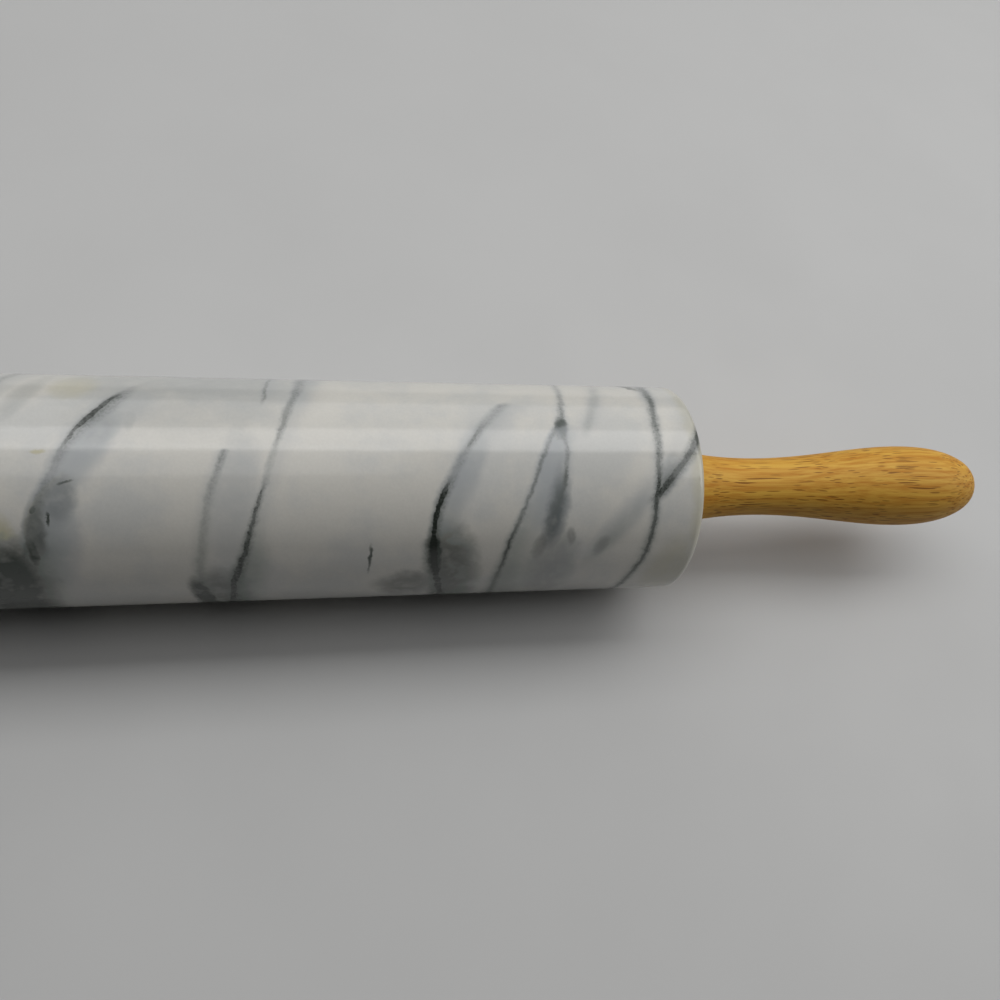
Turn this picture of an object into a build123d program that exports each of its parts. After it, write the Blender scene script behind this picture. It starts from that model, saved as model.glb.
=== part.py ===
from build123d import *
from math import radians, tan
import os

# A marble rolling pin, lying on its barrel. Lengths are in millimetres.
# X runs along the pin towards the right handle, and Z is up. The origin is on the surface that the
# pin lies on, below the middle of the barrel.

# Marble barrel
barrel_length = 254.0
barrel_radius = 30.0
barrel_rim_rounding = 2.2
barrel_bore_radius = 10.0
seat_clearance = 0.1  # round the bush's flange, in its seat in the end face
seat_mouth_chamfer = 0.4

# Flanged nylon bushes, one glued into each end of the bore
bush_length = 18.0  # behind the flange
bush_glue_gap = 0.05
bush_flange_lip = 3.0  # from the bore's wall out to the flange's edge
bush_flange_thickness = 3.0
bush_flange_proud = 1.0  # out of the marble's end face
bush_chamfer = 0.5

# Steel axle rod, turned down to a threaded tail at each end
rod_radius = 4.0
rod_running_clearance = 0.08
end_float = 0.4  # at each end, between flange and washer
thread_radius = 3.0
thread_clearance = 0.05
thread_overrun = 2.0  # past the end of the insert
thread_chamfer = 0.75

# Steel washers, held between the rod's shoulders and the handles
washer_radius = 9.0
washer_thickness = 1.6
washer_bore_clearance = 0.2
washer_rounding = 0.3

# Brass threaded inserts, driven into the handles with a screwdriver
insert_length = 20.0
insert_radius = 5.0
insert_fit_gap = 0.05
insert_chamfer = 0.6
insert_slot_width = 1.2
insert_slot_depth = 1.5

# Turned wooden handles
handle_length = 104.3
handle_root_radius = 11.6
handle_neck_radius = 8.8
handle_belly_radius = 12.75
handle_root_rounding = 0.8
handle_hole_spare = 4.0  # past the end of the rod
drill_point_angle = 118.0  # degrees

# The handle's outline is given by places along its length and, on the swell and the nose, by
# shares of the belly's radius.
neck_place_share = 0.25
swell_place_share = 0.51
belly_place_share = 0.765
nose_place_share = 0.94
swell_radius_share = 0.838
nose_radius_share = 0.745
root_flare_share = 0.22  # how fast the root draws in, per unit of length

# Fits
bush_radius = barrel_bore_radius - bush_glue_gap
bush_bore_radius = rod_radius + rod_running_clearance
flange_radius = barrel_bore_radius + bush_flange_lip
seat_radius = flange_radius + seat_clearance
seat_depth = bush_flange_thickness - bush_flange_proud
washer_bore_radius = thread_radius + washer_bore_clearance
insert_bore_radius = thread_radius + thread_clearance
handle_hole_radius = insert_radius + insert_fit_gap

# Places outwards from the barrel's end face
rod_shoulder = bush_flange_proud + end_float
handle_root = rod_shoulder + washer_thickness
insert_end = handle_root + insert_length
rod_end = insert_end + thread_overrun
handle_hole_end = rod_end + handle_hole_spare
drill_point_length = handle_hole_radius / tan(radians(drill_point_angle / 2))
handle_tip = handle_root + handle_length

pin_axis = Axis((0, 0, barrel_radius), (1, 0, 0))
middle = Plane(origin=(0, 0, barrel_radius), x_dir=(0, 1, 0), z_dir=(1, 0, 0))


def end_face(side):
    """The plane of the barrel's end face on one side, -1 for left and 1 for right, facing outwards."""
    return Plane(origin=(side * barrel_length / 2, 0, barrel_radius), x_dir=(0, 1, 0), z_dir=(side, 0, 0))


def end_profile(side):
    """The upright plane along the pin whose X runs outwards from the end face and Y up from the axis."""
    return Plane(origin=end_face(side).origin, x_dir=(side, 0, 0), z_dir=(0, -side, 0))


def end_circles(piece, rank):
    """One circle at each end of a piece along X, by its rank in radius: 0 is the smallest, -1 the largest."""
    circles = piece.edges().filter_by(GeomType.CIRCLE).group_by(Axis.X)
    return [circles[0].sort_by(SortBy.RADIUS)[rank], circles[-1].sort_by(SortBy.RADIUS)[rank]]


def finish(piece, name):
    """Label a finished piece and write it."""
    piece.part.label = name
    export_step(piece.part, f"parts/{name}.step")


def make_barrel():
    """The marble cylinder, with rounded rims and a counterbored hole that meets from both ends."""
    with BuildPart() as marble_barrel:
        with BuildSketch(middle):
            Circle(barrel_radius)
        extrude(amount=barrel_length / 2, both=True)
        with Locations(end_face(-1), end_face(1)):
            CounterBoreHole(barrel_bore_radius, seat_radius, seat_depth, depth=barrel_length / 2)
        fillet(end_circles(marble_barrel, -1), radius=barrel_rim_rounding)
        chamfer(end_circles(marble_barrel, 0), length=seat_mouth_chamfer)
    finish(marble_barrel, "marble_barrel")


def make_bush(side, name):
    """The flanged bearing in one end of the bore, with its flange proud of the marble."""
    with BuildPart() as bush:
        with BuildSketch(end_face(side).offset(bush_flange_proud)):
            Circle(flange_radius)
        extrude(amount=-bush_flange_thickness)
        with BuildSketch(end_face(side).offset(-seat_depth)):
            Circle(bush_radius)
        extrude(amount=-bush_length)
        with BuildSketch(end_face(side).offset(bush_flange_proud)):
            Circle(bush_bore_radius)
        extrude(amount=-bush_flange_thickness - bush_length, mode=Mode.SUBTRACT)
        ends = bush.edges().filter_by(GeomType.CIRCLE).group_by(Axis.X)
        chamfer(ends[0] + ends[-1], length=bush_chamfer)
    finish(bush, name)


def make_rod():
    """The axle, thick between its shoulders and thin where its tails are threaded."""
    with BuildPart() as axle_rod:
        with BuildSketch(middle):
            Circle(rod_radius)
        extrude(amount=barrel_length / 2 + rod_shoulder, both=True)
        with BuildSketch(middle):
            Circle(thread_radius)
        extrude(amount=barrel_length / 2 + rod_end, both=True)
        chamfer(end_circles(axle_rod, -1), length=thread_chamfer)
    finish(axle_rod, "axle_rod")


def make_washer(side, name):
    """The plain washer that the handle's root clamps against the rod's shoulder."""
    with BuildPart() as washer:
        with BuildSketch(end_face(side).offset(rod_shoulder)):
            Circle(washer_radius)
            Circle(washer_bore_radius, mode=Mode.SUBTRACT)
        extrude(amount=washer_thickness)
        fillet(end_circles(washer, -1), radius=washer_rounding)
    finish(washer, name)


def make_insert(side, name):
    """The brass insert flush with the handle's root, with a driving slot across its face."""
    with BuildPart() as insert:
        with BuildSketch(end_face(side).offset(handle_root)):
            Circle(insert_radius)
            Circle(insert_bore_radius, mode=Mode.SUBTRACT)
        extrude(amount=insert_length)
        chamfer(end_circles(insert, -1), length=insert_chamfer)
        with BuildSketch(end_face(side).offset(handle_root)):
            Rectangle(2 * insert_radius, insert_slot_width)
        extrude(amount=insert_slot_depth, mode=Mode.SUBTRACT)
    finish(insert, name)


def make_handle(side, name):
    """The turned handle, with a drilled hole for the insert and the rod's tail."""
    root = (handle_root, handle_root_radius)
    neck = (handle_root + neck_place_share * handle_length, handle_neck_radius)
    swell = (handle_root + swell_place_share * handle_length, swell_radius_share * handle_belly_radius)
    belly = (handle_root + belly_place_share * handle_length, handle_belly_radius)
    nose = (handle_root + nose_place_share * handle_length, nose_radius_share * handle_belly_radius)
    tip = (handle_tip, 0)
    with BuildPart() as handle:
        with BuildSketch(end_profile(side)):
            with BuildLine():
                Polyline(tip, (handle_root, 0), root)
                Spline(root, neck, swell, belly, nose, tip, tangents=[(1, -root_flare_share), (0, -1)])
            make_face()
        revolve(axis=pin_axis)
        root_rim = handle.edges().filter_by(GeomType.CIRCLE)
        fillet(root_rim, radius=handle_root_rounding)
        with BuildSketch(end_profile(side)):
            with BuildLine():
                Polyline(
                    (handle_root, 0),
                    (handle_root, handle_hole_radius),
                    (handle_hole_end, handle_hole_radius),
                    (handle_hole_end + drill_point_length, 0),
                    close=True,
                )
            make_face()
        revolve(axis=pin_axis, mode=Mode.SUBTRACT)
    finish(handle, name)


os.makedirs("parts", exist_ok=True)
make_barrel()
make_rod()
for side, side_name in ((-1, "left"), (1, "right")):
    make_bush(side, f"{side_name}_bush")
    make_washer(side, f"{side_name}_washer")
    make_insert(side, f"{side_name}_threaded_insert")
    make_handle(side, f"{side_name}_handle")
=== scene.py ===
"""Finishes and studio for a marble rolling pin that lies on a pale table.

Lengths are in metres, in the frame of the CAD model: X runs along the pin towards its right handle,
Z is up, and the origin is on the table, below the middle of the barrel.
"""

import logging
import math
from collections.abc import Iterator
from dataclasses import dataclass
from enum import Enum

import bpy
from mathutils import Matrix, Vector

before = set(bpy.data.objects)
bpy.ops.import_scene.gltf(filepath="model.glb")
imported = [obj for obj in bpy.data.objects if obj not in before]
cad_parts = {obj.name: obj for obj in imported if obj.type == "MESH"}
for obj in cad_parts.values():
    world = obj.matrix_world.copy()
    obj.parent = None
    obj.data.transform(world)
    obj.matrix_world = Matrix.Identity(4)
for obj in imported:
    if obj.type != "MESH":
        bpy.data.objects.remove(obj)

Value = float | bpy.types.NodeSocket
Triple = tuple[float, float, float]
Colour = Triple

ZERO: Triple = (0.0, 0.0, 0.0)
UNIT: Triple = (1.0, 1.0, 1.0)
MM = 0.001
BARREL_RADIUS = 30 * MM
HALF_BARREL = 127 * MM  # from the middle to an end face
PIN_AXIS = (0.0, 0.0, BARREL_RADIUS)
VIEW_ELEVATION = math.radians(62)  # of the photograph's camera, above the table
MIX_COLOURS = (6, 7)  # the two colour inputs of a Mix node, by number
MIX_RESULT = 2  # its colour output
WIDEST = 2.0  # the greatest breadth of a look, which stands as 1 in a colour ramp

report = logging.getLogger("rolling_pin")


class Side(Enum):
    """The two ends of the pin."""

    LEFT = "left"
    RIGHT = "right"


class Tint(Enum):
    """The colours that minerals give the stone."""

    LAVENDER = (0.37, 0.385, 0.39)
    SLATE = (0.2, 0.217, 0.222)
    MOSS = (0.055, 0.066, 0.057)
    OCHRE = (0.47, 0.44, 0.31)


class Recipe:
    """The node tree of one material, with a short call for each kind of node."""

    def __init__(self, name: str) -> None:
        """Start a material, with its shader and output in place.

        Args:
            name: the material's name.
        """
        self.material = bpy.data.materials.new(name)
        self.material.use_nodes = True
        self.nodes = self.material.node_tree.nodes
        self.links = self.material.node_tree.links
        self.shader = self.nodes["Principled BSDF"]

    def feed(self, socket: bpy.types.NodeSocket, value: Value | tuple) -> None:
        """Link a value to a socket, or write it there if it is a constant.

        Args:
            socket: the input that takes the value.
            value: another node's output, a number, a vector or a colour.
        """
        if isinstance(value, bpy.types.NodeSocket):
            self.links.new(value, socket)
        else:
            socket.default_value = value

    def add(self, kind: str, feeds: dict, **settings: object) -> bpy.types.Node:
        """Add one node.

        Args:
            kind: the node's type, without the prefix that all shader nodes have.
            feeds: the values for its inputs, by name or number.
            settings: the node's own settings.

        Returns:
            The new node.
        """
        node = self.nodes.new(f"ShaderNode{kind}")
        for key, value in settings.items():
            setattr(node, key, value)
        for key, value in feeds.items():
            self.feed(node.inputs[key], value)
        return node

    def calc(self, operation: str, *terms: Value, clamp: bool = False) -> bpy.types.NodeSocket:
        """Work out a number from other numbers.

        Args:
            operation: the name of the Math node's operation.
            terms: its one to three terms.
            clamp: keep the result between 0 and 1.

        Returns:
            The socket with the result.
        """
        feeds = dict(enumerate(terms))
        return self.add("Math", feeds, operation=operation, use_clamp=clamp).outputs[0]

    def ramp(
        self, value: Value, start: float, end: float, low: float = 0.0, high: float = 1.0
    ) -> bpy.types.NodeSocket:
        """Turn a number into a soft step.

        Args:
            value: the number that is tested.
            start: where the step begins, with the result low.
            end: where the step is complete, with the result high.
            low: the result before the step.
            high: the result past it.

        Returns:
            The socket with the result.
        """
        feeds = {"Value": value, "From Min": start, "From Max": end, "To Min": low, "To Max": high}
        return self.add("MapRange", feeds, interpolation_type="SMOOTHSTEP").outputs[0]

    def place(
        self, centre: Triple = PIN_AXIS, turn: Triple = ZERO, cell: Triple = UNIT
    ) -> bpy.types.NodeSocket:
        """Read the place on the piece.

        Args:
            centre: the point that places are measured from.
            turn: the turn of the measuring axes, about X, Y and Z.
            cell: the length of one unit along each of them.

        Returns:
            The socket with the place.
        """
        coordinates = self.nodes.new("ShaderNodeTexCoord")
        return self.reframe(coordinates.outputs["Object"], centre, turn, cell)

    def reframe(
        self, place: bpy.types.NodeSocket, centre: Triple = ZERO, turn: Triple = ZERO, cell: Triple = UNIT
    ) -> bpy.types.NodeSocket:
        """Measure a place from another centre, along turned axes and in other units.

        Args:
            place: the place to measure.
            centre: the new centre.
            turn: the turn of the new axes.
            cell: the length of one unit along each of them.

        Returns:
            The socket with the new place.
        """
        feeds = {"Vector": place, "Location": centre, "Rotation": turn, "Scale": cell}
        return self.add("Mapping", feeds, vector_type="TEXTURE").outputs[0]

    def split(self, place: bpy.types.NodeSocket) -> list[bpy.types.NodeSocket]:
        """Return a place's three coordinates."""
        return list(self.add("SeparateXYZ", {0: place}).outputs)

    def join(self, *coordinates: Value) -> bpy.types.NodeSocket:
        """Return the place that has these three coordinates."""
        return self.add("CombineXYZ", dict(enumerate(coordinates))).outputs[0]

    def noise(
        self, place: bpy.types.NodeSocket, size: float, detail: float = 2.0, rough: float = 0.5
    ) -> bpy.types.NodeSocket:
        """Add cloudy variation.

        Args:
            place: where it is read.
            size: the size of its largest clouds.
            detail: how many finer sizes are added.
            rough: how strong these are.

        Returns:
            The socket with a number that is mostly near one half.
        """
        feeds = {"Vector": place, "Scale": 1 / size, "Detail": detail, "Roughness": rough}
        return self.add("TexNoise", feeds).outputs["Fac"]

    def swing(self, cloud: Value) -> bpy.types.NodeSocket:
        """Return a noise measured from its middle, so that it goes both ways."""
        return self.calc("SUBTRACT", cloud, 0.5)

    def blend(
        self, share: Value, first: Value | Colour, second: Value | Colour, mode: str = "MIX"
    ) -> bpy.types.NodeSocket:
        """Mix two colours.

        Args:
            share: how much of the second there is.
            first: the colour below.
            second: the colour laid over it.
            mode: the Mix node's blend type.

        Returns:
            The socket with the mixed colour.
        """
        feeds = {0: share}
        for number, colour in zip(MIX_COLOURS, (first, second)):
            feeds[number] = (*colour, 1.0) if isinstance(colour, tuple) else colour
        return self.add("Mix", feeds, data_type="RGBA", blend_type=mode).outputs[MIX_RESULT]

    def finish(
        self, colour: Value, roughness: Value, height: Value, depth: float, constants: dict
    ) -> bpy.types.Material:
        """Connect the shader.

        Args:
            colour: the surface colour.
            roughness: the surface roughness.
            height: the relief, as a share of its depth.
            depth: how high a relief of 1 stands.
            constants: the values for the shader's other inputs, by name.

        Returns:
            The finished material.
        """
        relief = self.add("Bump", {"Height": height, "Distance": depth}).outputs[0]
        self.feed(self.shader.inputs["Base Color"], colour)
        self.feed(self.shader.inputs["Roughness"], roughness)
        self.feed(self.shader.inputs["Normal"], relief)
        for key, value in constants.items():
            self.feed(self.shader.inputs[key], value)
        return self.material

    def largest(self, values: Iterator[bpy.types.NodeSocket]) -> bpy.types.NodeSocket:
        """Find the largest of several numbers.

        Each is compared with the rest before the next one's nodes are added, because a shader has
        room for only so many open values.

        Args:
            values: the numbers.

        Returns:
            The socket with the largest number.
        """
        top = next(values)
        for value in values:
            top = self.calc("MAXIMUM", top, value)
        return top

    def largest_triple(self, triples: Iterator[bpy.types.NodeSocket]) -> bpy.types.NodeSocket:
        """Find the largest value at each of the three places of several triples.

        Args:
            triples: the triples, kept as colours.

        Returns:
            The socket with the three largest numbers.
        """
        top = next(triples)
        for triple in triples:
            top = self.blend(1.0, top, triple, mode="LIGHTEN")
        return top

    def lathe_marks(self, pitch: float) -> bpy.types.NodeSocket:
        """Add the fine rings that a cutting tool leaves.

        Args:
            pitch: the distance from ring to ring.

        Returns:
            The socket with their height.
        """
        along, across, up = self.split(self.place())
        squares = self.calc("ADD", self.calc("POWER", across, 2.0), self.calc("POWER", up, 2.0))
        radius = self.calc("SQRT", squares)
        return self.noise(self.join(along, radius, 0.0), pitch, detail=1.0)


@dataclass(frozen=True)
class Look:
    """How strongly a vein shows at one height."""

    height: float  # in barrel radii above the axis
    core: float  # the thin dark line
    smoke: float  # the dark band round it
    haze: float  # the pale cloud beside it
    breadth: float = 1.0  # of all three, beside the vein's own reaches


@dataclass(frozen=True)
class Vein:
    """One sheet of dark mineral through the stone. Its lengths are in millimetres.

    Its line on the front of the barrel is a cubic curve of the height, in barrel radii.
    """

    place: float  # along the pin, where it crosses the level of the axis
    lean: float  # how far along the pin it moves in one barrel radius of height
    bow: float  # the same for the square of the height
    twist: float  # and for its cube
    looks: tuple[Look, ...]  # from the bottom up
    line: float = 0.6  # reach of the core to each side
    smoke: tuple[float, float] = (1.2, 1.8)  # reach to the left and to the right
    haze: tuple[float, float] = (3.0, 7.0)
    solid: float = 0.4  # share of the line's reach in which the core is at its full strength
    level: float = 0.1  # share of the reach to the right in which a band is at its full strength

    def lay(self, recipe: Recipe, along: Value, height: Value) -> bpy.types.NodeSocket:
        """Work out the vein at one place of the stone.

        Args:
            recipe: the material that the nodes go into.
            along: the place along the pin.
            height: the height, in barrel radii above the axis.

        Returns:
            The strengths of core, smoke and haze there, as one triple.
        """
        curve = recipe.calc("MULTIPLY_ADD", height, self.twist, self.bow)
        curve = recipe.calc("MULTIPLY_ADD", height, curve, self.lean)
        curve = recipe.calc("MULTIPLY_ADD", height, curve, self.place)
        # Heights run from -1 to 1, and places in a colour ramp from 0 to 1
        look = recipe.add("ValToRGB", {0: recipe.calc("MULTIPLY_ADD", height, 0.5, 0.5)})
        stops = look.color_ramp.elements
        stops.remove(stops[1])
        for number, stage in enumerate(self.looks):
            position = stage.height / 2 + 0.5
            stop = stops.new(position) if number else stops[0]
            stop.position = position
            stop.color = (stage.core, stage.smoke, stage.haze, stage.breadth / WIDEST)
        breadth = recipe.calc("MULTIPLY", look.outputs["Alpha"], WIDEST)
        offset = recipe.calc("DIVIDE", recipe.calc("SUBTRACT", along, curve), breadth)
        core = recipe.ramp(recipe.calc("ABSOLUTE", offset), self.line, self.solid * self.line)
        smoke, haze = (self.band(recipe, offset, *reach) for reach in (self.smoke, self.haze))
        profile = recipe.add("CombineColor", {0: core, 1: smoke, 2: haze}).outputs[0]
        return recipe.blend(1.0, profile, look.outputs["Color"], mode="MULTIPLY")

    def band(self, recipe: Recipe, offset: Value, left: float, right: float) -> bpy.types.NodeSocket:
        """Work out a band that fades to both sides of the vein's line.

        Args:
            recipe: the material that the nodes go into.
            offset: the distance from the line, to the right.
            left: how far the band reaches to the left.
            right: how far it reaches to the right.

        Returns:
            The band's strength there.
        """
        rise = recipe.ramp(offset, -left, 0.0)
        return recipe.calc("MULTIPLY", rise, recipe.ramp(offset, right, self.level * right))


@dataclass(frozen=True)
class Stain:
    """One soft-edged patch of mineral, long in one direction. Its lengths are in millimetres."""

    along: float  # its middle
    up: float
    length: float  # from the middle to each end, where about half its strength is left
    breadth: float  # from the middle to each side
    tint: Tint
    strength: float = 1.0
    lean: float = 0.0  # degrees clockwise from upright
    fade: float = 1.9  # square of the distance at which it has faded out, in its own half sizes

    def lay(self, recipe: Recipe, flat: bpy.types.NodeSocket, ragged: Value) -> bpy.types.NodeSocket:
        """Work out the stain at one place of the stone.

        Args:
            recipe: the material that the nodes go into.
            flat: the place along the pin and up from its axis, with 1 for the depth.
            ragged: what is added to the square of the distance there, to move its outline.

        Returns:
            The stain's strength there.
        """
        lean = math.radians(self.lean)
        middle = Vector((self.along, self.up))
        reach = ragged
        across = Vector((math.cos(lean), -math.sin(lean))) / self.breadth
        lengthwise = Vector((math.sin(lean), math.cos(lean))) / self.length
        for direction in (across, lengthwise):
            plane = (*direction, -direction.dot(middle))
            step = recipe.add("VectorMath", {0: flat, 1: plane}, operation="DOT_PRODUCT").outputs["Value"]
            reach = recipe.calc("MULTIPLY_ADD", step, step, reach)
        return recipe.ramp(reach, self.fade, 0.0, 0.0, self.strength)


SEEN_VEINS = (
    # Bold vein in the left part of the picture, with a dark cloud along its right side
    Vein(-33.3, 9.6, 3.0, 9.7, smoke=(1.0, 2.8), haze=(2.5, 9.0), looks=(
        Look(-1.0, 0.5, 0.9, 1.0, 1.9), Look(-0.72, 0.3, 0.8, 1.0, 1.6), Look(-0.5, 0.3, 0.8, 1.0, 1.2),
        Look(-0.3, 0.2, 0.7, 0.9), Look(0.0, 0.2, 0.6, 0.9), Look(0.12, 0.0, 0.35, 0.8),
        Look(0.28, 0.2, 0.5, 0.8), Look(0.4, 0.6, 0.8, 0.7, 1.2), Look(0.62, 0.8, 1.0, 0.6, 2.0),
        Look(0.74, 0.6, 0.9, 0.5, 1.7), Look(0.82, 0.0, 0.3, 0.3, 1.2), Look(0.9, 0.0, 0.0, 0.0),
    )),
    # Soft green-grey line that ends below the highlight
    Vein(2.3, 7.0, 2.5, 0.0, line=0.4, haze=(3.0, 3.0), looks=(
        Look(-1.0, 0.6, 1.0, 0.9, 1.5), Look(-0.7, 0.0, 0.4, 0.4), Look(-0.4, 0.0, 0.35, 0.3),
        Look(0.1, 0.0, 0.45, 0.4), Look(0.24, 0.1, 0.7, 0.5), Look(0.31, 0.0, 0.7, 0.5),
        Look(0.33, 0.0, 0.0, 0.0),
    )),
    # Thin vein beside it, from the lower edge to the upper one, and its short branch at the top
    Vein(13.9, 9.0, -1.0, 0.0, smoke=(1.1, 1.4), haze=(1.5, 5.0), looks=(
        Look(-1.0, 0.7, 1.0, 0.9, 2.0), Look(-0.62, 0.7, 1.0, 0.8, 1.9), Look(-0.3, 0.5, 0.9, 0.4, 1.2),
        Look(-0.02, 0.5, 0.7, 0.3, 0.9), Look(0.12, 0.0, 0.3, 0.4), Look(0.28, 0.1, 0.35, 0.4),
        Look(0.42, 0.4, 0.6, 0.3, 0.9), Look(0.6, 0.3, 0.7, 0.4, 1.1), Look(1.0, 0.0, 0.5, 0.7, 1.8),
    )),
    Vein(12.4, 1.8, 0.0, 0.0, line=0.4, smoke=(0.8, 0.8), haze=(2.0, 4.0), looks=(
        Look(0.68, 0.0, 0.0, 0.0), Look(0.76, 0.2, 0.7, 0.3), Look(1.0, 0.0, 0.4, 0.6),
    )),
    # Black vein with a dark foot, right of the middle
    Vein(57.6, 12.1, 13.1, 0.0, line=0.7, smoke=(1.5, 2.0), haze=(2.0, 7.0), looks=(
        Look(-1.0, 0.7, 1.0, 1.0, 1.8), Look(-0.75, 0.8, 1.0, 1.0, 1.9), Look(-0.65, 1.0, 1.0, 1.0, 2.0),
        Look(-0.48, 1.0, 1.0, 1.0, 2.0), Look(-0.4, 0.9, 1.0, 0.9, 1.3), Look(-0.05, 0.9, 1.0, 0.8, 1.2),
        Look(0.12, 0.1, 0.45, 0.9, 1.1), Look(0.3, 0.1, 0.4, 0.7), Look(0.37, 0.5, 0.8, 0.5, 1.2),
        Look(0.48, 0.4, 0.7, 0.5, 1.3), Look(0.6, 0.0, 0.35, 0.55, 1.6), Look(0.72, 0.1, 0.5, 0.6, 1.5),
        Look(0.76, 0.0, 0.0, 0.0),
    )),
    # Forked vein: its stem, its left leg, its right leg and a faint streak to its right
    Vein(83.2, 8.4, 0.0, 0.0, line=0.5, smoke=(1.4, 1.4), haze=(2.5, 2.5), looks=(
        Look(0.52, 0.0, 0.0, 0.0), Look(0.58, 0.3, 1.0, 0.5), Look(0.75, 0.0, 0.6, 0.5),
        Look(1.0, 0.0, 0.2, 0.4),
    )),
    Vein(79.3, 12.4, 4.8, 0.0, line=0.5, smoke=(1.0, 1.1), haze=(2.0, 8.0), looks=(
        Look(-1.0, 0.3, 0.9, 0.6, 2.0), Look(-0.75, 0.4, 0.9, 0.6, 1.6), Look(-0.5, 0.6, 1.0, 0.6, 1.2),
        Look(-0.2, 0.2, 0.8, 0.7, 0.9), Look(0.1, 0.3, 0.8, 0.9, 0.9), Look(0.46, 0.2, 0.6, 1.0),
        Look(0.56, 0.0, 0.0, 0.0),
    )),
    Vein(87.7, 9.5, -16.6, 0.0, line=0.5, smoke=(1.0, 0.9), haze=(2.5, 2.5), looks=(
        Look(-0.3, 0.0, 0.0, 0.0), Look(-0.1, 0.1, 0.6, 0.6), Look(0.1, 0.4, 1.0, 0.6, 1.3),
        Look(0.2, 0.1, 0.6, 0.5), Look(0.45, 0.1, 0.6, 0.6), Look(0.56, 0.0, 0.0, 0.0),
    )),
    Vein(85.8, 17.6, 0.0, 0.0, smoke=(2.0, 2.0), haze=(4.0, 4.0), looks=(
        Look(0.42, 0.0, 0.0, 0.0), Look(0.55, 0.0, 0.3, 0.35), Look(0.9, 0.0, 0.15, 0.4),
        Look(1.0, 0.0, 0.0, 0.2),
    )),
    # Upright vein near the right end, and the branch that it sends to the rim
    Vein(113.3, 2.7, -0.6, 1.3, line=0.7, smoke=(1.5, 1.5), haze=(3.0, 2.5), looks=(
        Look(-1.0, 0.4, 1.0, 0.4), Look(-0.7, 0.5, 1.0, 0.4, 1.1), Look(-0.3, 0.5, 1.0, 0.4, 1.1),
        Look(0.05, 0.7, 1.0, 0.7, 1.3), Look(0.2, 0.3, 1.0, 0.4, 1.1), Look(0.5, 0.3, 1.0, 0.4, 1.2),
        Look(0.8, 0.4, 1.0, 0.6, 1.4), Look(1.0, 0.1, 0.8, 0.8, 1.5),
    )),
    Vein(115.3, 24.5, 0.0, 0.0, line=1.7, smoke=(3.4, 3.4), haze=(4.8, 4.8), looks=(
        Look(-0.16, 0.0, 0.0, 0.0), Look(-0.06, 0.7, 1.0, 0.7), Look(0.25, 0.5, 1.0, 0.6),
        Look(0.5, 0.6, 1.0, 0.5, 1.1),
    )),
    # Wide, faint smear that slants down from it
    Vein(111.0, 22.0, 0.0, 0.0, smoke=(3.0, 3.0), haze=(6.0, 6.0), looks=(
        Look(-0.75, 0.0, 0.0, 0.0), Look(-0.5, 0.0, 0.15, 0.3), Look(-0.2, 0.0, 0.1, 0.4),
        Look(0.05, 0.0, 0.0, 0.3),
    )),
)

BOLD_LOOKS = (
    Look(-1.0, 1.0, 1.0, 0.9, 1.6), Look(-0.5, 0.8, 0.9, 0.8, 1.2), Look(0.0, 0.3, 0.5, 0.7),
    Look(0.4, 0.8, 0.7, 0.5), Look(1.0, 0.3, 0.6, 0.5, 1.3),
)
FAINT_LOOKS = (
    Look(-1.0, 0.6, 0.7, 0.6), Look(-0.3, 0.2, 0.4, 0.5), Look(0.2, 0.5, 0.5, 0.4),
    Look(1.0, 0.1, 0.4, 0.5, 1.4),
)

# The left part of the barrel is outside the picture, so these are made up in the same manner.
UNSEEN_VEINS = (
    Vein(-58.0, 8.0, 4.0, 0.0, FAINT_LOOKS),
    Vein(-74.0, 12.0, -3.0, 2.0, BOLD_LOOKS, haze=(3.5, 9.0)),
    Vein(-80.0, -9.0, 5.0, 0.0, FAINT_LOOKS),
    Vein(-97.0, 9.0, 2.0, 0.0, FAINT_LOOKS, haze=(5.0, 5.0)),
    Vein(-112.0, 14.0, 1.0, 4.0, BOLD_LOOKS, haze=(3.5, 8.0)),
)

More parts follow.
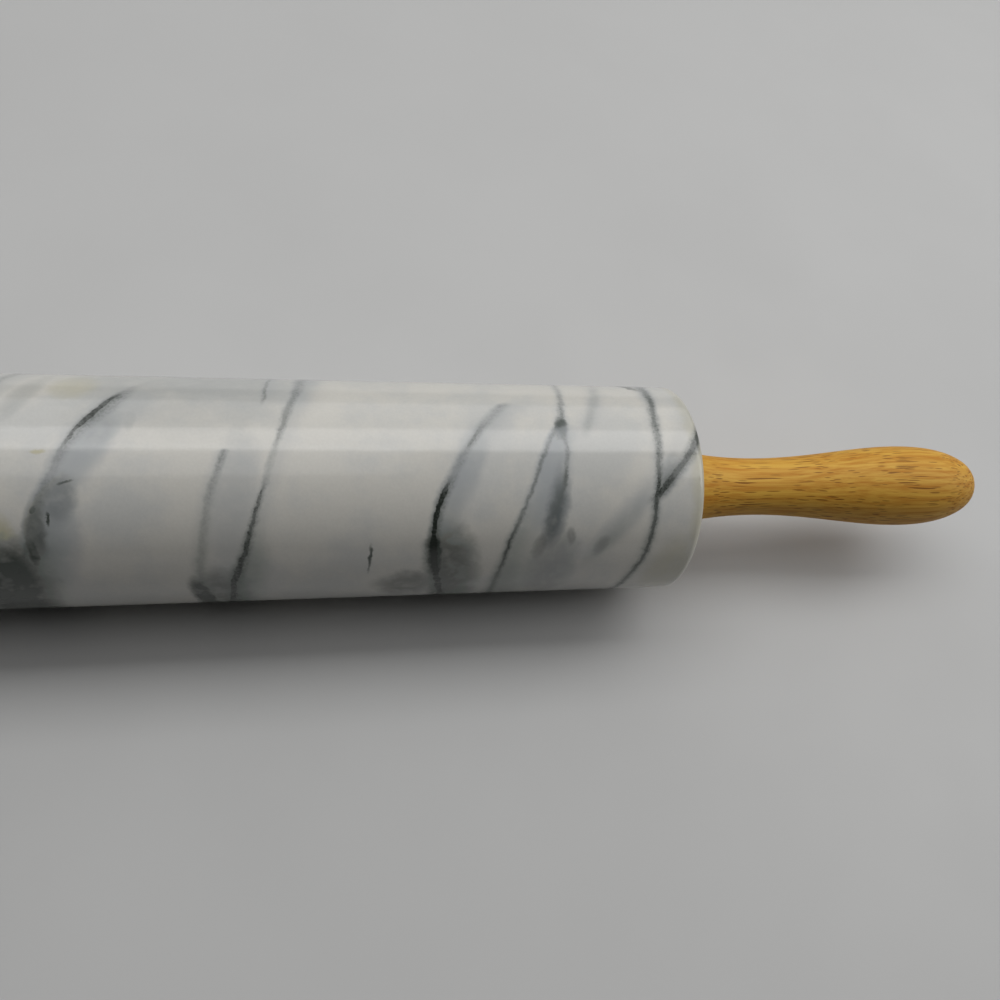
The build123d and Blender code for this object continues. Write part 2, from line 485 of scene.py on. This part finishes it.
STAINS = (
    Stain(-24.3, 10.0, 9, 4.2, Tint.LAVENDER, 1.0, lean=26),
    Stain(-30.0, -1.5, 5.4, 3.8, Tint.SLATE, 0.85, lean=10),
    Stain(-30.5, -11.0, 9, 4.5, Tint.LAVENDER, 0.9, lean=8),
    Stain(-28.4, 1.9, 0.3, 1.7, Tint.MOSS, 0.7, lean=-15),
    Stain(-34.8, -4.0, 1.1, 0.7, Tint.MOSS, 0.9, lean=25),
    Stain(-31.8, -6.0, 1.6, 0.4, Tint.MOSS, 1.0),
    Stain(-35.0, -9.5, 7, 2.4, Tint.MOSS, 0.8, lean=6),
    Stain(-36.3, -14.0, 4.0, 1.4, Tint.MOSS, 1.0),
    Stain(-44.5, -24.0, 13, 8.5, Tint.MOSS, 1.2, lean=22),
    Stain(38.8, -17.4, 3.4, 0.45, Tint.MOSS, 1.0, lean=4),
    Stain(-34.1, 9.0, 0.6, 1.4, Tint.OCHRE, 1.0),
    Stain(-42.5, -10.6, 5, 3, Tint.OCHRE, 0.9),
    Stain(-31.0, 24.7, 3, 5, Tint.OCHRE, 0.45),
    Stain(-40.5, 22.5, 6, 2.5, Tint.SLATE, 0.35, lean=25),
    Stain(-16.0, 16.7, 2.8, 1.5, Tint.SLATE, 0.4),
    Stain(-20.5, 15.5, 6.0, 3.0, Tint.SLATE, 0.35, lean=45),
    Stain(-5.0, 26.0, 12, 28, Tint.SLATE, 0.3),
    Stain(7.0, -3.0, 18, 5.0, Tint.LAVENDER, 0.55, lean=9),
    Stain(-2.0, -26.5, 5.0, 2.6, Tint.MOSS, 1.2, lean=-12),
    Stain(3.0, -25.0, 5.5, 5.5, Tint.MOSS, 0.75),
    Stain(55.2, -17.0, 7.0, 2.4, Tint.MOSS, 1.2, lean=-4),
    Stain(59.5, -20.5, 11, 6.5, Tint.MOSS, 0.85, lean=-10),
    Stain(48.5, -24.5, 3.0, 7.5, Tint.MOSS, 0.7),
    Stain(63.5, 6.0, 10, 3.6, Tint.LAVENDER, 0.8, lean=18),
    Stain(88.0, 15.2, 2.6, 1.7, Tint.SLATE, 1.0),
    Stain(88.1, 16.6, 1.0, 1.5, Tint.MOSS, 0.9),
    Stain(84.8, 3.0, 14, 3.0, Tint.LAVENDER, 1.0, lean=15),
    Stain(85.8, -6.5, 11.0, 3.0, Tint.SLATE, 1.0, lean=9),
    Stain(85.5, -6.5, 7.0, 1.8, Tint.MOSS, 0.4, lean=12),
    Stain(82.0, -15.2, 3.2, 1.5, Tint.MOSS, 0.4, lean=10),
    Stain(90.1, -12.6, 2.2, 1.2, Tint.MOSS, 0.4),
    Stain(86.5, -20.0, 9, 6.0, Tint.SLATE, 0.6),
    Stain(98.9, -15.0, 2.6, 1.7, Tint.MOSS, 0.35, lean=30),
    Stain(103.0, -9.5, 11, 3.2, Tint.LAVENDER, 0.4, lean=42),
    Stain(112.3, 29.0, 3.2, 1.0, Tint.MOSS, 0.8, lean=-65),
    Stain(115.9, 3.2, 5, 2.6, Tint.SLATE, 0.8, lean=25),
    Stain(120.0, -22.0, 8, 6, Tint.OCHRE, 0.5),
    Stain(126.5, 6.0, 26, 3.5, Tint.OCHRE, 0.6),
    Stain(-88.0, -8.0, 9, 5, Tint.LAVENDER, 1.0, lean=20),
    Stain(-69.0, 2.0, 12, 4, Tint.LAVENDER, 0.9, lean=20),
    Stain(-74.5, -9.0, 4, 3, Tint.SLATE, 0.9, lean=20),
    Stain(-107.0, -19.0, 8, 5, Tint.MOSS, 0.8, lean=15),
)


@dataclass(frozen=True)
class MarbleFinish:
    """Polished white marble with dark, slanting veins. Its lengths are in millimetres."""

    warm: Colour = (0.6, 0.585, 0.54)
    cool: Colour = (0.53, 0.53, 0.508)
    smoke: Colour = (0.135, 0.148, 0.138)
    core: Colour = (0.025, 0.03, 0.025)
    high_haze: Colour = (0.36, 0.375, 0.385)
    # darker, greener haze low on the barrel: partly the veins' own colour, partly painted shade
    low_haze_with_painted_shade: Colour = (0.19, 0.225, 0.2)
    radius: float = BARREL_RADIUS / MM
    cloud_size: float = 20.0
    drift_size: float = 16.0
    drift: float = 3.0  # how far veins and stains wander in broad swings
    jag_size: float = 2.0
    jag: float = 1.6  # how far they wander in fine ones
    grain_size: float = 0.7
    patch_size: float = 6.0
    back_shift: float = 22.0  # how far the veins have moved along at the middle of the back
    ragged: float = 1.8  # how far the patches move the outlines of the stains
    gap_strength: float = 0.7  # of stains and clouds in the gaps between the patches
    speckle: float = 0.55  # strength of the smoke in the lightest grains
    broken: float = 1.4  # how far the grain breaks up the cores of the veins
    haze_shade_heights: tuple[float, float] = (0.1, -0.8)  # above the first height the haze has its own colour, below the second it is fully the darker low haze, which is partly painted shade; in barrel radii
    crystals: float = 0.08  # how much the grain shows in the white stone
    polish: float = 0.12  # roughness of the polished stone
    dulling: float = 0.06  # what the grain adds to it
    rim: float = 1.6  # width of the duller rim at each end
    rim_dulling: float = 0.35  # what the rim adds to the roughness
    relief_size: float = 3.0
    relief_depth: float = 0.02
    refraction: float = 1.5

    def material(self) -> bpy.types.Material:
        """Mix the marble.

        Returns:
            Its material.
        """
        recipe = Recipe("veined_marble")
        stone = recipe.place(turn=(math.radians(90) - VIEW_ELEVATION, 0.0, 0.0), cell=(MM, MM, MM))
        from_middle, up, depth = recipe.split(stone)
        height = recipe.calc("DIVIDE", up, self.radius)
        behind = recipe.calc("SUBTRACT", self.front(recipe, height), depth)
        behind = recipe.calc("DIVIDE", behind, 2 * self.radius)
        drift = recipe.swing(recipe.noise(stone, self.drift_size, detail=1.0))
        jag = recipe.swing(recipe.noise(stone, self.jag_size, detail=3.0, rough=0.65))
        shift = recipe.calc("MULTIPLY_ADD", drift, self.drift, recipe.calc("MULTIPLY", jag, self.jag))
        along = recipe.calc("ADD", from_middle, shift)
        along = recipe.calc("MULTIPLY_ADD", recipe.calc("MULTIPLY", behind, behind), self.back_shift, along)
        flat = recipe.join(along, recipe.calc("ADD", up, shift), 1.0)
        grain = recipe.noise(stone, self.grain_size, detail=2.0, rough=0.6)

        colour = self.base(recipe, stone, grain)
        patches = recipe.noise(stone, self.patch_size, detail=3.0, rough=0.55)
        ragged = recipe.calc("MULTIPLY", recipe.swing(patches), self.ragged)
        patchy = recipe.ramp(patches, 0.3, 0.55, self.gap_strength, 1.0)
        colour = self.stained(recipe, colour, flat, ragged, patchy)
        colour = self.veined(recipe, colour, along, height, grain, patchy)
        roughness = self.roughness(recipe, from_middle, grain)
        relief = recipe.noise(stone, self.relief_size, detail=3.0)
        relief_depth = self.relief_depth * MM
        return recipe.finish(colour, roughness, relief, relief_depth, {"IOR": self.refraction})

    def front(self, recipe: Recipe, height: Value) -> bpy.types.NodeSocket:
        """Return how deep the barrel's front surface lies at one height."""
        rest = recipe.calc("SUBTRACT", 1.0, recipe.calc("MULTIPLY", height, height), clamp=True)
        return recipe.calc("MULTIPLY", recipe.calc("SQRT", rest), self.radius)

    def base(self, recipe: Recipe, stone: bpy.types.NodeSocket, grain: Value) -> bpy.types.NodeSocket:
        """Mix the stone's own clouded white.

        Args:
            recipe: the material that the nodes go into.
            stone: the place in the stone.
            grain: the pattern of its crystals.

        Returns:
            The socket with its colour.
        """
        cloud = recipe.noise(stone, self.cloud_size, detail=4.0, rough=0.6)
        colour = recipe.blend(recipe.ramp(cloud, 0.38, 0.62), self.warm, self.cool)
        crystals = recipe.ramp(grain, 0.3, 0.7, 0.0, self.crystals)
        return recipe.blend(crystals, colour, self.cool, mode="MULTIPLY")

    def stained(
        self, recipe: Recipe, colour: Value, flat: bpy.types.NodeSocket, ragged: Value, patchy: Value
    ) -> bpy.types.NodeSocket:
        """Lay all stains over the white stone, one tint after the other.

        Args:
            recipe: the material that the nodes go into.
            colour: the white stone's colour.
            flat: the place along the pin and up from its axis, with 1 for the depth.
            ragged: what moves the outlines of the stains.
            patchy: the share of a stain that shows.

        Returns:
            The socket with the stained colour.
        """
        for tint in Tint:
            chosen = (stain for stain in STAINS if stain.tint is tint)
            strength = recipe.largest(stain.lay(recipe, flat, ragged) for stain in chosen)
            share = recipe.calc("MULTIPLY", strength, patchy)
            colour = recipe.blend(share, colour, tint.value, mode="DARKEN")
        return colour

    def veined(
        self, recipe: Recipe, colour: Value, along: Value, height: Value, grain: Value, patchy: Value
    ) -> bpy.types.NodeSocket:
        """Lay all veins over the stained stone: their haze, which is darker low on the barrel and partly
        painted shade there, then their smoke, then their cores.

        Args:
            recipe: the material that the nodes go into.
            colour: the stained stone's colour.
            along: the place along the pin.
            height: the height, in barrel radii above the axis.
            grain: the pattern of the stone's crystals.
            patchy: the share of the haze that shows.

        Returns:
            The socket with the veined colour.
        """
        all_veins = SEEN_VEINS + UNSEEN_VEINS
        triple = recipe.largest_triple(vein.lay(recipe, along, height) for vein in all_veins)
        core, smoke, haze = recipe.add("SeparateColor", {0: triple}).outputs
        # the haze turns darker and greener towards the bottom: partly the veins' own colour, partly painted
        # shade
        painted_shade_share = recipe.ramp(height, *self.haze_shade_heights)
        haze_and_painted_shade_colour = recipe.blend(painted_shade_share, self.high_haze, self.low_haze_with_painted_shade)
        share = recipe.calc("MULTIPLY", haze, patchy)
        colour = recipe.blend(share, colour, haze_and_painted_shade_colour, mode="DARKEN")
        speckle = recipe.ramp(grain, 0.3, 0.65, 1.0, self.speckle)
        share = recipe.calc("MULTIPLY", smoke, speckle)
        colour = recipe.blend(share, colour, self.smoke, mode="DARKEN")
        broken = recipe.calc("MULTIPLY_ADD", recipe.swing(grain), self.broken, core)
        ink = recipe.calc("MULTIPLY", recipe.ramp(broken, 0.1, 1.0), recipe.ramp(core, 0.0, 0.6))
        return recipe.blend(ink, colour, self.core)

    def roughness(self, recipe: Recipe, from_middle: Value, grain: Value) -> bpy.types.NodeSocket:
        """Work out the roughness, which is low but for the two rims.

        Args:
            recipe: the material that the nodes go into.
            from_middle: the place along the pin, from its middle.
            grain: the pattern of the stone's crystals.

        Returns:
            The socket with the roughness.
        """
        end = HALF_BARREL / MM
        outwards = recipe.calc("ABSOLUTE", from_middle)
        rim = recipe.ramp(outwards, end - self.rim, end, 0.0, self.rim_dulling)
        polish = recipe.ramp(grain, 0.2, 0.8, self.polish, self.polish + self.dulling)
        return recipe.calc("ADD", rim, polish)


@dataclass(frozen=True)
class Pores:
    """One kind of the open ends of the tree's vessels, which are short dashes along the grain."""

    length: float  # from dash to dash along the grain
    breadth: float  # from dash to dash across it
    left_out: float  # share of the dashes
    pale: float = 0.2  # share of them that are paler than the rest
    full: float = 0.2  # reach of a dash's darkest part, as a share of the distances above
    edge: float = 0.34  # reach of the whole dash, as such a share

    def lay(self, recipe: Recipe, timber: bpy.types.NodeSocket) -> bpy.types.NodeSocket:
        """Add the dashes.

        Args:
            recipe: the material that the nodes go into.
            timber: the place in the wood.

        Returns:
            The socket with 1 in a pore and 0 outside.
        """
        cells = recipe.reframe(timber, cell=(self.length, self.breadth, self.breadth))
        vessel = recipe.add("TexVoronoi", {"Vector": cells, "Scale": 1.0}, feature="F1")
        chosen = recipe.split(vessel.outputs["Color"])[0]
        dash = recipe.ramp(vessel.outputs["Distance"], self.edge, self.full)
        strength = recipe.ramp(chosen, self.left_out, self.left_out + self.pale)
        return recipe.calc("MULTIPLY", dash, strength)


@dataclass(frozen=True)
class WoodFinish:
    """Golden hardwood with short dark pores, under satin lacquer."""

    light: Colour = (0.64, 0.365, 0.055)
    dark: Colour = (0.47, 0.2, 0.02)
    pore: Colour = (0.22, 0.085, 0.006)
    end_grain: Colour = (0.2, 0.17, 0.08)
    wander_size: float = 18 * MM
    wander: tuple[float, float] = (1.2 * MM, 0.8 * MM)  # how far the grain wanders, across and up
    fibre: Triple = (30 * MM, 0.9 * MM, 0.9 * MM)  # size of a streak, along, across and up
    heart: tuple[float, float] = (60 * MM, 35 * MM)  # of the tree: how far before the axis and below it
    ring: float = 4 * MM  # one year's growth
    ring_rise: float = 0.8  # share of a ring in which the wood grows darker
    ring_fall: float = 0.1  # share of it in which it grows light again
    streak_share: float = 0.75  # how much the streaks darken the wood
    ring_share: float = 0.3  # how much the rings do
    long_pores: Pores = Pores(26 * MM, 0.75 * MM, 0.45)
    short_pores: Pores = Pores(9 * MM, 0.6 * MM, 0.35)
    short_share: float = 0.8  # strength of the short pores beside the long ones
    pore_share: float = 0.95  # how much of the pores' own colour shows
    end_grain_share: float = 0.5
    smoothest: float = 0.52
    roughest: float = 0.64
    streak_height: float = 0.6  # of the ridges between the streaks, where a pore is 1 deep
    relief_depth: float = 0.025 * MM
    refraction: float = 1.32

    def material(self) -> bpy.types.Material:
        """Mix the wood.

        Returns:
            Its material.
        """
        recipe = Recipe("lacquered_hardwood")
        timber = recipe.place()
        along, across, up = recipe.split(timber)
        wander = recipe.swing(recipe.noise(timber, self.wander_size, detail=1.0))
        across = recipe.calc("MULTIPLY_ADD", wander, self.wander[0], across)
        up = recipe.calc("MULTIPLY_ADD", wander, self.wander[1], up)
        timber = recipe.join(along, across, up)

        fibres = recipe.reframe(timber, cell=self.fibre)
        streaks = recipe.noise(fibres, 1.0, detail=3.0, rough=0.6)
        rings = self.rings(recipe, across, up)
        darkening = recipe.ramp(streaks, 0.35, 0.7, 0.0, self.streak_share)
        tone = recipe.calc("MULTIPLY_ADD", rings, self.ring_share, darkening)
        colour = recipe.blend(tone, self.light, self.dark)

        long_pores = self.long_pores.lay(recipe, timber)
        short_pores = recipe.calc("MULTIPLY", self.short_pores.lay(recipe, timber), self.short_share)
        pores = recipe.calc("MAXIMUM", long_pores, short_pores)
        colour = recipe.blend(recipe.calc("MULTIPLY", pores, self.pore_share), colour, self.pore)
        normal = recipe.nodes.new("ShaderNodeNewGeometry").outputs["Normal"]
        facing = recipe.calc("ABSOLUTE", recipe.split(normal)[0])
        endwise = recipe.ramp(facing, 0.55, 1.0, 0.0, self.end_grain_share)
        colour = recipe.blend(endwise, colour, self.end_grain)
        roughness = recipe.ramp(streaks, 0.3, 0.7, self.smoothest, self.roughest)
        ridges = recipe.calc("MULTIPLY", streaks, self.streak_height)
        height = recipe.calc("SUBTRACT", ridges, pores)
        return recipe.finish(colour, roughness, height, self.relief_depth, {"IOR": self.refraction})

    def rings(self, recipe: Recipe, across: Value, up: Value) -> bpy.types.NodeSocket:
        """Add the yearly rings, which are wide arcs round the heart of the tree.

        Args:
            recipe: the material that the nodes go into.
            across: the place across the pin.
            up: the place above its axis.

        Returns:
            The socket with 1 in the late wood and 0 in the early wood.
        """
        across = recipe.calc("ADD", across, self.heart[0])
        up = recipe.calc("ADD", up, self.heart[1])
        from_heart = recipe.join(across, up, 0.0)
        radius = recipe.add("VectorMath", {0: from_heart}, operation="LENGTH").outputs["Value"]
        wave = recipe.calc("FRACT", recipe.calc("DIVIDE", radius, self.ring))
        rise = recipe.ramp(wave, 0.0, self.ring_rise)
        fall = recipe.ramp(wave, 1.0, 1 - self.ring_fall)
        return recipe.calc("MULTIPLY", rise, fall)


@dataclass(frozen=True)
class NylonFinish:
    """White turned nylon, a little yellowed."""

    clean: Colour = (0.8, 0.79, 0.74)
    aged: Colour = (0.68, 0.63, 0.5)
    cloud_size: float = 5 * MM
    mark_pitch: float = 0.25 * MM
    mark_depth: float = 0.02 * MM
    smoothest: float = 0.4
    roughest: float = 0.55
    refraction: float = 1.53
    milkiness: float = 0.1  # share of the light that scatters below the surface

    def material(self) -> bpy.types.Material:
        """Mix the nylon.

        Returns:
            Its material.
        """
        recipe = Recipe("turned_nylon")
        marks = recipe.lathe_marks(self.mark_pitch)
        cloud = recipe.noise(recipe.place(), self.cloud_size, detail=3.0)
        colour = recipe.blend(recipe.ramp(cloud, 0.35, 0.75), self.clean, self.aged)
        roughness = recipe.ramp(cloud, 0.3, 0.7, self.smoothest, self.roughest)
        constants = {"IOR": self.refraction, "Subsurface Weight": self.milkiness}
        return recipe.finish(colour, roughness, marks, self.mark_depth, constants)


@dataclass(frozen=True)
class MetalFinish:
    """Turned metal with fine tool rings and dull patches."""

    name: str
    bright: Colour
    dull: Colour
    roughness: float
    dulling: float = 0.15  # what a dull patch adds to the roughness
    cloud_size: float = 4 * MM
    mark_pitch: float = 0.12 * MM
    mark_depth: float = 0.01 * MM
    mark_share: float = 0.25  # how much duller the metal is on the rings

    def material(self) -> bpy.types.Material:
        """Mix the metal.

        Returns:
            Its material.
        """
        recipe = Recipe(self.name)
        marks = recipe.lathe_marks(self.mark_pitch)
        cloud = recipe.noise(recipe.place(), self.cloud_size, detail=4.0, rough=0.6)
        colour = recipe.blend(recipe.ramp(cloud, 0.4, 0.7), self.bright, self.dull)
        ringed = recipe.ramp(marks, 0.3, 0.7, 0.0, self.mark_share)
        colour = recipe.blend(ringed, colour, self.dull)
        roughness = recipe.ramp(cloud, 0.35, 0.7, self.roughness, self.roughness + self.dulling)
        return recipe.finish(colour, roughness, marks, self.mark_depth, {"Metallic": 1.0})


@dataclass(frozen=True)
class TableFinish:
    """A pale, matt table top."""

    light: Colour = (0.487, 0.487, 0.482)
    dark: Colour = (0.475, 0.475, 0.47)
    cloud_size: float = 90 * MM
    grain_size: float = 1.2 * MM
    grain_depth: float = 0.01 * MM
    smoothest: float = 0.5
    roughest: float = 0.6

    def material(self) -> bpy.types.Material:
        """Mix the table top.

        Returns:
            Its material.
        """
        recipe = Recipe("pale_table")
        top = recipe.place(centre=ZERO)
        cloud = recipe.noise(top, self.cloud_size, detail=3.0)
        colour = recipe.blend(recipe.ramp(cloud, 0.3, 0.7), self.light, self.dark)
        grain = recipe.noise(top, self.grain_size, detail=2.0)
        roughness = recipe.ramp(cloud, 0.3, 0.7, self.smoothest, self.roughest)
        return recipe.finish(colour, roughness, grain, self.grain_depth, {})


def dress(node: str, material: bpy.types.Material) -> None:
    """Give a CAD node its material.

    Args:
        node: the node's name.
        material: what it is made of.
    """
    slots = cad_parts[node].data.materials
    slots.clear()
    slots.append(material)
    report.info("%s is dressed in %s", node, material.name)


@dataclass
class Barrel:
    """The stone barrel with its two bushes."""

    marble: MarbleFinish = MarbleFinish()
    nylon: NylonFinish = NylonFinish()

    def dress(self) -> None:
        """Dress the stone and the bushes."""
        dress("marble_barrel", self.marble.material())
        nylon = self.nylon.material()
        for side in Side:
            dress(f"{side.value}_bush", nylon)


@dataclass
class Axle:
    """The steel rod with the washers on its tails."""

    steel: MetalFinish = MetalFinish("turned_steel", (0.56, 0.56, 0.57), (0.34, 0.33, 0.32), 0.25)

    def dress(self) -> None:
        """Dress the rod and the washers."""
        steel = self.steel.material()
        dress("axle_rod", steel)
        for side in Side:
            dress(f"{side.value}_washer", steel)


@dataclass
class Handles:
    """The two wooden handles with their brass inserts."""

    wood: WoodFinish = WoodFinish()
    brass: MetalFinish = MetalFinish("turned_brass", (0.76, 0.56, 0.24), (0.45, 0.3, 0.12), 0.22)

    def dress(self) -> None:
        """Dress both handles and both inserts."""
        wood = self.wood.material()
        brass = self.brass.material()
        for side in Side:
            dress(f"{side.value}_handle", wood)
            dress(f"{side.value}_threaded_insert", brass)


@dataclass(frozen=True)
class LampPanel:
    """One soft, rectangular lamp that faces the pin."""

    name: str
    tilt: float  # degrees from overhead towards the far side
    lean: float  # degrees towards the right end
    distance: float  # from the pin's axis
    width: float
    depth: float
    power: float  # watts
    colour: Colour = (1.0, 1.0, 1.0)

    def build(self) -> None:
        """Hang the panel."""
        bpy.ops.object.light_add(type="AREA")
        lamp = bpy.context.object
        lamp.name = self.name
        tilt = Matrix.Rotation(-math.radians(self.tilt), 4, "X")
        lean = Matrix.Rotation(math.radians(self.lean), 4, "Y")
        away = Matrix.Translation((0.0, 0.0, self.distance))
        lamp.matrix_world = Matrix.Translation(PIN_AXIS) @ tilt @ lean @ away
        lamp.data.shape = "RECTANGLE"
        lamp.data.size = self.width
        lamp.data.size_y = self.depth
        lamp.data.energy = self.power
        lamp.data.color = self.colour
        report.info("lamp %s hangs at %s", self.name, tuple(round(value, 2) for value in lamp.location))


@dataclass
class Studio:
    """The table top, the lamps and the soft light all round."""

    table_size: float = 6.0
    ambient: float = 0.01  # strength of the light all round
    table: TableFinish = TableFinish()
    lamps: tuple[LampPanel, ...] = (
        LampPanel("overhead_panel", tilt=1.0, lean=-10.0, distance=1.2, width=0.72, depth=0.64, power=1.4),
        LampPanel("rear_panel", tilt=23.0, lean=5.0, distance=1.2, width=2.7, depth=0.51, power=12.2),
        LampPanel("back_panel", tilt=52.5, lean=5.0, distance=1.2, width=2.7, depth=0.75, power=5.6),
        LampPanel("side_panel", tilt=-6.0, lean=54.0, distance=1.2, width=1.17, depth=0.46, power=3.7),
    )

    def build(self) -> None:
        """Lay the table top and switch on the light."""
        bpy.ops.object.select_all(action="DESELECT")
        bpy.ops.mesh.primitive_plane_add(size=self.table_size)
        top = bpy.context.object
        top.name = "table_top"
        top.data.materials.append(self.table.material())
        for lamp in self.lamps:
            lamp.build()
        world = bpy.data.worlds.new("soft_light")
        world.use_nodes = True
        background = world.node_tree.nodes["Background"]
        background.inputs["Color"].default_value = (1.0, 1.0, 1.0, 1.0)
        background.inputs["Strength"].default_value = self.ambient
        bpy.context.scene.world = world
        bpy.context.scene.view_settings.view_transform = "Standard"


@dataclass(frozen=True)
class Camera:
    """The photograph's camera, above the near side of the barrel."""

    lens: float = 27.0  # millimetres
    sensor: float = 36.0  # millimetres wide
    nearest: float = 10 * MM
    farthest: float = 50.0
    along: float = 33.9 * MM  # its place along the pin
    distance: float = 213.8 * MM  # from the pin's axis
    pan: float = math.radians(-11.42)
    tilt: float = math.radians(-0.9)
    roll: float = math.radians(-0.37)

    def build(self) -> None:
        """Set the camera up."""
        bpy.ops.object.camera_add()
        camera = bpy.context.object
        camera.name = "photo_camera"
        camera.data.lens = self.lens
        camera.data.sensor_width = self.sensor
        camera.data.clip_start = self.nearest
        camera.data.clip_end = self.farthest
        rise = Matrix.Rotation(math.radians(90) - VIEW_ELEVATION, 4, "X")
        aim = (
            Matrix.Rotation(self.pan, 4, "Y")
            @ Matrix.Rotation(self.tilt, 4, "X")
            @ Matrix.Rotation(self.roll, 4, "Z")
        )
        stand = Matrix.Translation((self.along, 0.0, self.distance))
        camera.matrix_world = Matrix.Translation(PIN_AXIS) @ rise @ stand @ aim
        bpy.context.scene.camera = camera
        report.info("camera stands at %s", tuple(round(value, 4) for value in camera.location))


def main() -> None:
    """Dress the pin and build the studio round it."""
    logging.basicConfig(level=logging.INFO, format="%(message)s")
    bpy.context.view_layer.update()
    Barrel().dress()
    Axle().dress()
    Handles().dress()
    Studio().build()
    Camera().build()


if __name__ == "__main__":
    main()
